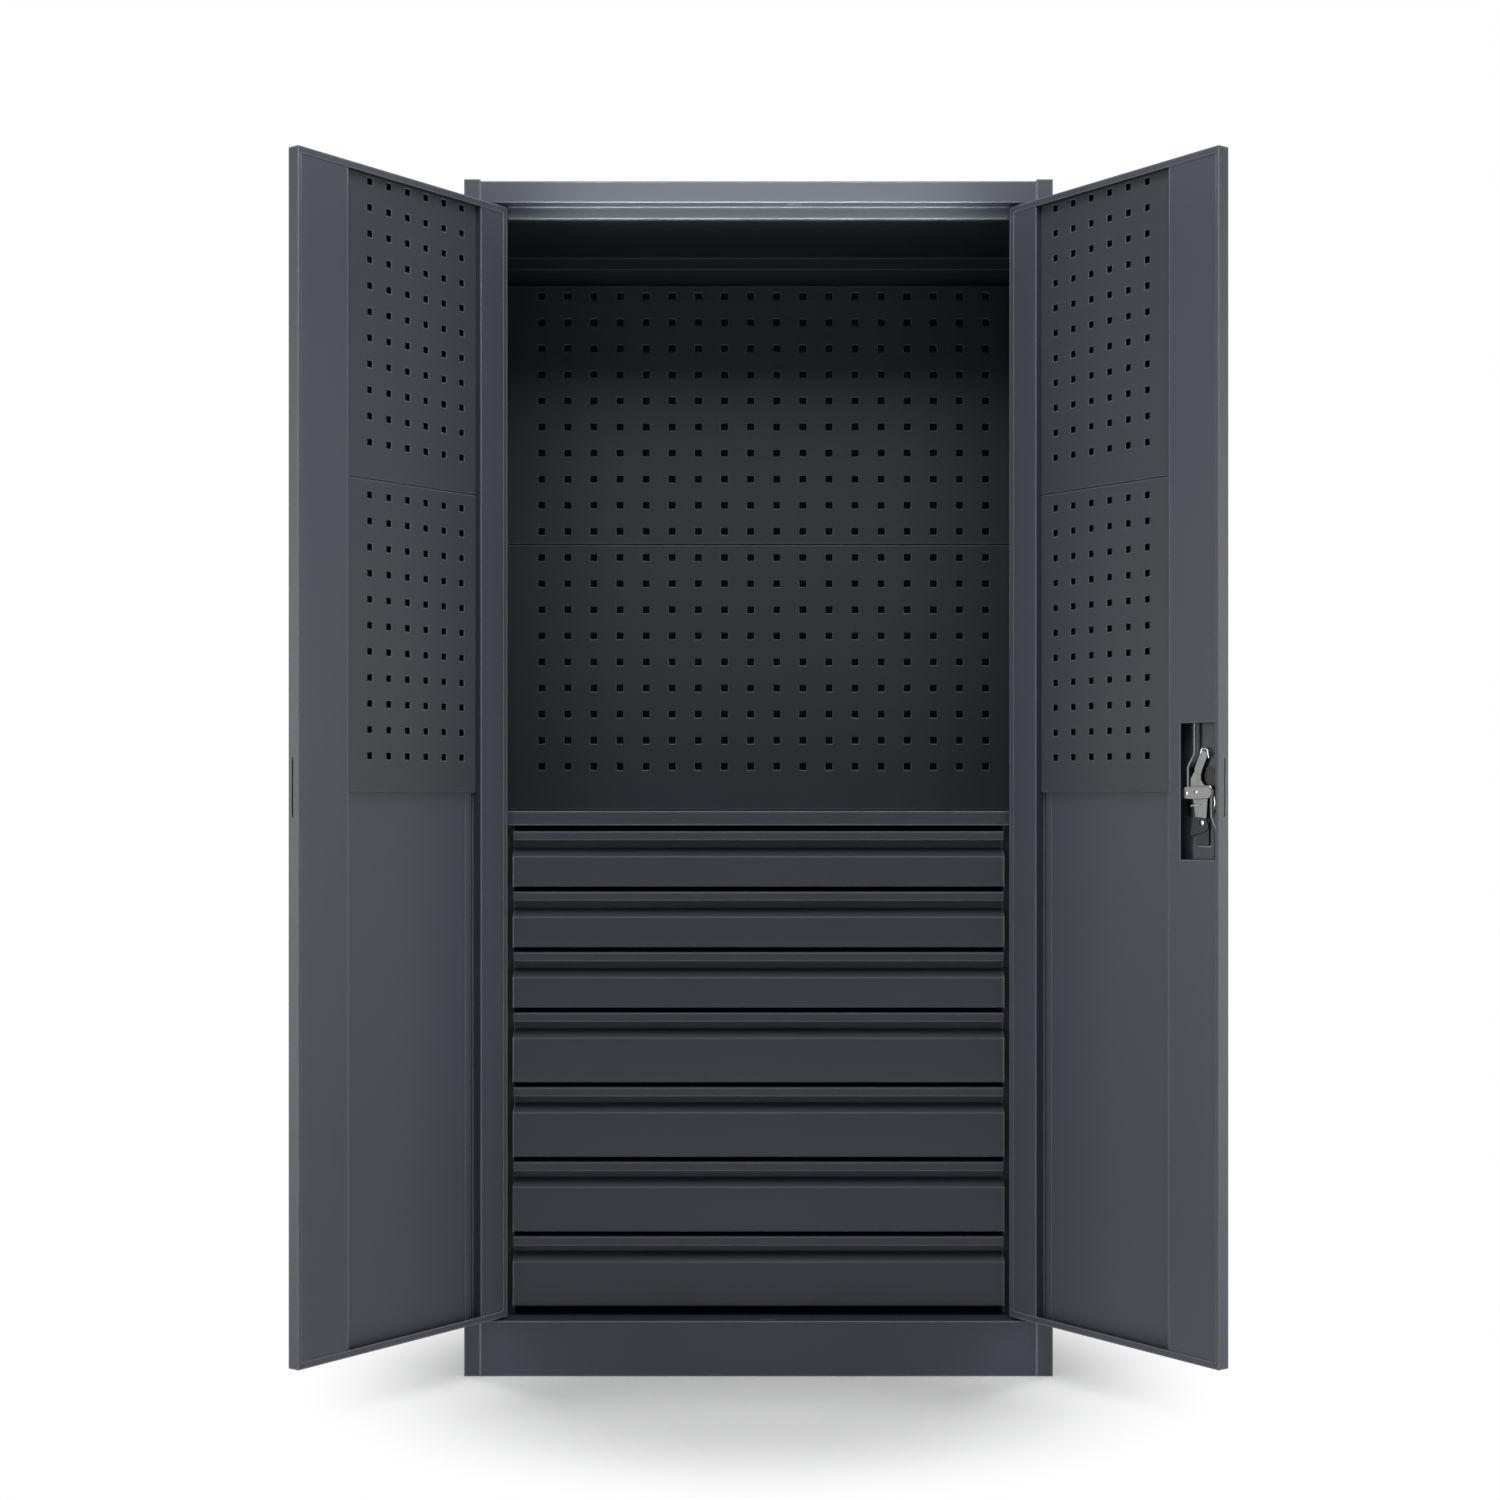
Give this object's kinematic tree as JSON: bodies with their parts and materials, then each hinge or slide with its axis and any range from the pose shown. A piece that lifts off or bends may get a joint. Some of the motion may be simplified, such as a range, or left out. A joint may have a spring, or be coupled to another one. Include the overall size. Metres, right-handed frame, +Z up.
{
  "type": "tool cabinet",
  "caption": "Tall two-door steel tool cabinet with perforated tool panels above a block of pull-out drawers and a three-point door lock.",
  "frame": {"origin": "on the floor, at the middle of the carcass's front face", "axes": "+Z up, +Y from the front to the back, +X to the right seen from the front"},
  "size_m": [1.3257, 0.8275, 1.85],
  "materials": {
    "powder_coat": "anthracite satin powder coat",
    "slide_steel": "zinc-plated rolled steel",
    "pin_steel": "bright steel",
    "screw_steel": "zinc-plated",
    "nylon": "black nylon",
    "lock_black": "black coated die casting",
    "lock_zinc": "zinc-plated pressed steel",
    "key_nickel": "nickel-plated"
  },
  "bodies": {
    "carcass": {"left_side_panel": "powder_coat", "right_side_panel": "powder_coat", "top_panel": "powder_coat", "bottom_panel": "powder_coat", "back_panel": "powder_coat", "back_screws": "screw_steel", "back_pegboard_upper": "powder_coat", "back_pegboard_lower": "powder_coat", "hinge_pins": "pin_steel", "drawer_unit_left_cheek": "powder_coat", "drawer_unit_right_cheek": "powder_coat", "drawer_unit_top": "powder_coat", "cabinet_slides": "slide_steel"},
    "left_door": {"left_door_skin": "powder_coat", "left_door_hinge_stile": "powder_coat", "left_door_free_stile": "powder_coat", "left_door_pegboard_upper": "powder_coat", "left_door_pegboard_lower": "powder_coat", "left_door_bushes": "nylon"},
    "right_door": {"right_door_skin": "powder_coat", "right_door_hinge_stile": "powder_coat", "right_door_free_stile": "powder_coat", "right_door_pegboard_upper": "powder_coat", "right_door_pegboard_lower": "powder_coat", "right_door_bushes": "nylon", "lock_housing": "lock_black"},
    "lock_turn": {"lock_handle": "lock_black", "lock_cam": "lock_zinc"},
    "key": {"key_cylinder": "key_nickel"},
    "upper_rod": {"upper_lock_rod": "lock_zinc"},
    "lower_rod": {"lower_lock_rod": "lock_zinc"},
    "drawer_1": {"drawer_1_front": "powder_coat", "drawer_1_box": "powder_coat", "drawer_1_slides": "slide_steel"},
    "drawer_1_middle": {"drawer_1_middle_slides": "slide_steel"},
    "drawer_2": {"drawer_2_front": "powder_coat", "drawer_2_box": "powder_coat", "drawer_2_slides": "slide_steel"},
    "drawer_2_middle": {"drawer_2_middle_slides": "slide_steel"},
    "drawer_3": {"drawer_3_front": "powder_coat", "drawer_3_box": "powder_coat", "drawer_3_slides": "slide_steel"},
    "drawer_3_middle": {"drawer_3_middle_slides": "slide_steel"},
    "drawer_4": {"drawer_4_front": "powder_coat", "drawer_4_box": "powder_coat", "drawer_4_slides": "slide_steel"},
    "drawer_4_middle": {"drawer_4_middle_slides": "slide_steel"},
    "drawer_5": {"drawer_5_front": "powder_coat", "drawer_5_box": "powder_coat", "drawer_5_slides": "slide_steel"},
    "drawer_5_middle": {"drawer_5_middle_slides": "slide_steel"},
    "drawer_6": {"drawer_6_front": "powder_coat", "drawer_6_box": "powder_coat", "drawer_6_slides": "slide_steel"},
    "drawer_6_middle": {"drawer_6_middle_slides": "slide_steel"},
    "drawer_7": {"drawer_7_front": "powder_coat", "drawer_7_box": "powder_coat", "drawer_7_slides": "slide_steel"},
    "drawer_7_middle": {"drawer_7_middle_slides": "slide_steel"}
  },
  "joints": [
    {"name": "left_door_swing", "type": "hinge", "parent": "carcass", "child": "left_door", "pos_m": [-0.41, 0.008, 0], "axis": [0, 0, -1], "range_deg": [-127, 0]},
    {"name": "right_door_swing", "type": "hinge", "parent": "carcass", "child": "right_door", "pos_m": [0.41, 0.008, 0], "axis": [0, 0, 1], "range_deg": [-127, 0]},
    {"name": "handle_turn", "type": "hinge", "parent": "right_door", "child": "lock_turn", "pos_m": [0.62906, -0.2827, 0.9], "axis": [0.7986, 0.6018, 0], "range_deg": [0, 90]},
    {"name": "key_turn", "type": "hinge", "parent": "right_door", "child": "key", "pos_m": [0.63385, -0.27909, 0.858], "axis": [0.7986, 0.6018, 0], "range_deg": [0, 90]},
    {"name": "upper_rod_pivot", "type": "hinge", "parent": "lock_turn", "child": "upper_rod", "pos_m": [0.61382, -0.26664, 0.9], "axis": [0.7986, 0.6018, 0], "range_deg": [-91.52, 0]},
    {"name": "lower_rod_pivot", "type": "hinge", "parent": "lock_turn", "child": "lower_rod", "pos_m": [0.6403, -0.30178, 0.9], "axis": [0.7986, 0.6018, 0], "range_deg": [-91.7, 0]},
    {"name": "drawer_1_slide", "type": "slide", "parent": "carcass", "child": "drawer_1", "axis": [0, -1, 0], "range_m": [0, 0.42]},
    {"name": "drawer_1_middle_slide", "type": "slide", "parent": "carcass", "child": "drawer_1_middle", "axis": [0, -1, 0], "range_m": [0, 0.21]},
    {"name": "drawer_2_slide", "type": "slide", "parent": "carcass", "child": "drawer_2", "axis": [0, -1, 0], "range_m": [0, 0.42]},
    {"name": "drawer_2_middle_slide", "type": "slide", "parent": "carcass", "child": "drawer_2_middle", "axis": [0, -1, 0], "range_m": [0, 0.21]},
    {"name": "drawer_3_slide", "type": "slide", "parent": "carcass", "child": "drawer_3", "axis": [0, -1, 0], "range_m": [0, 0.42]},
    {"name": "drawer_3_middle_slide", "type": "slide", "parent": "carcass", "child": "drawer_3_middle", "axis": [0, -1, 0], "range_m": [0, 0.21]},
    {"name": "drawer_4_slide", "type": "slide", "parent": "carcass", "child": "drawer_4", "axis": [0, -1, 0], "range_m": [0, 0.42]},
    {"name": "drawer_4_middle_slide", "type": "slide", "parent": "carcass", "child": "drawer_4_middle", "axis": [0, -1, 0], "range_m": [0, 0.21]},
    {"name": "drawer_5_slide", "type": "slide", "parent": "carcass", "child": "drawer_5", "axis": [0, -1, 0], "range_m": [0, 0.42]},
    {"name": "drawer_5_middle_slide", "type": "slide", "parent": "carcass", "child": "drawer_5_middle", "axis": [0, -1, 0], "range_m": [0, 0.21]},
    {"name": "drawer_6_slide", "type": "slide", "parent": "carcass", "child": "drawer_6", "axis": [0, -1, 0], "range_m": [0, 0.42]},
    {"name": "drawer_6_middle_slide", "type": "slide", "parent": "carcass", "child": "drawer_6_middle", "axis": [0, -1, 0], "range_m": [0, 0.21]},
    {"name": "drawer_7_slide", "type": "slide", "parent": "carcass", "child": "drawer_7", "axis": [0, -1, 0], "range_m": [0, 0.42]},
    {"name": "drawer_7_middle_slide", "type": "slide", "parent": "carcass", "child": "drawer_7_middle", "axis": [0, -1, 0], "range_m": [0, 0.21]}
  ],
  "couplings": [
    {"joint": "upper_rod_pivot", "follows": "handle_turn", "ratio": -1.0158},
    {"joint": "lower_rod_pivot", "follows": "handle_turn", "ratio": -1.0178},
    {"joint": "drawer_1_middle_slide", "follows": "drawer_1_slide", "ratio": 0.5},
    {"joint": "drawer_2_middle_slide", "follows": "drawer_2_slide", "ratio": 0.5},
    {"joint": "drawer_3_middle_slide", "follows": "drawer_3_slide", "ratio": 0.5},
    {"joint": "drawer_4_middle_slide", "follows": "drawer_4_slide", "ratio": 0.5},
    {"joint": "drawer_5_middle_slide", "follows": "drawer_5_slide", "ratio": 0.5},
    {"joint": "drawer_6_middle_slide", "follows": "drawer_6_slide", "ratio": 0.5},
    {"joint": "drawer_7_middle_slide", "follows": "drawer_7_slide", "ratio": 0.5}
  ]
}
